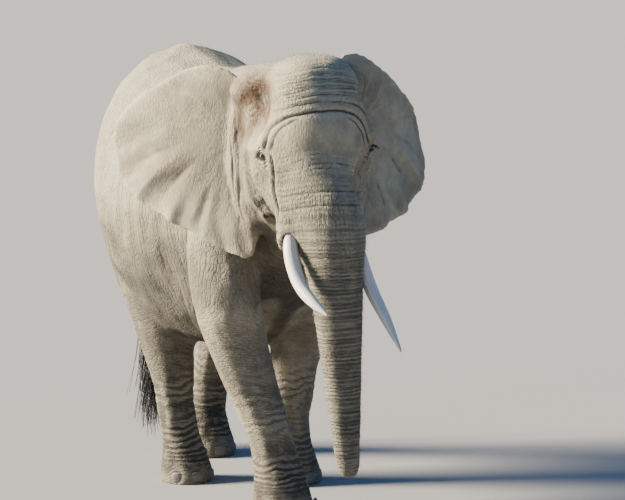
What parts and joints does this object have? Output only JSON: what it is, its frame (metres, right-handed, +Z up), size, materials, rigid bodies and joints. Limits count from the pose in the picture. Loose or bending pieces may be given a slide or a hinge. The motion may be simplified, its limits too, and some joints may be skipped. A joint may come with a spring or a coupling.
{
  "type": "african elephant",
  "caption": "Life-size still model of a walking African elephant with spread ears, a hanging trunk and two curved tusks.",
  "frame": {"origin": "on the floor under the middle of the animal's bounding box", "axes": "+Z up, +Y from the head towards the tail, +X towards the animal's left side"},
  "size_m": [1.7832, 3.6658, 2.578],
  "materials": {
    "hide": "dry, deeply wrinkled grey-brown hide, dusty on the sunlit side",
    "ivory": "smooth ivory, faintly streaked, stained near the lip",
    "nail": "worn, dusty horn",
    "eye": "wet, glossy dark brown",
    "hair": "coarse black wiry hair"
  },
  "bodies": {
    "root": {"ear_left": "hide", "ear_right": "hide", "eye_left": "eye", "eye_right": "eye", "foreleg_left_foot": "hide", "foreleg_left_lower": "hide", "foreleg_left_nail_1": "nail", "foreleg_left_nail_2": "nail", "foreleg_left_nail_3": "nail", "foreleg_left_nail_4": "nail", "foreleg_left_upper": "hide", "foreleg_right_foot": "hide", "foreleg_right_lower": "hide", "foreleg_right_nail_1": "nail", "foreleg_right_nail_2": "nail", "foreleg_right_nail_3": "nail", "foreleg_right_nail_4": "nail", "foreleg_right_upper": "hide", "head": "hide", "hindleg_left_foot": "hide", "hindleg_left_lower": "hide", "hindleg_left_nail_1": "nail", "hindleg_left_nail_2": "nail", "hindleg_left_nail_3": "nail", "hindleg_left_upper": "hide", "hindleg_right_foot": "hide", "hindleg_right_lower": "hide", "hindleg_right_nail_1": "nail", "hindleg_right_nail_2": "nail", "hindleg_right_nail_3": "nail", "hindleg_right_upper": "hide", "lower_jaw": "hide", "neck": "hide", "tail": "hide", "tail_tuft": "hair", "torso": "hide", "trunk_1": "hide", "trunk_2": "hide", "trunk_3": "hide", "trunk_4": "hide", "tusk_left": "ivory", "tusk_right": "ivory"}
  },
  "joints": []
}
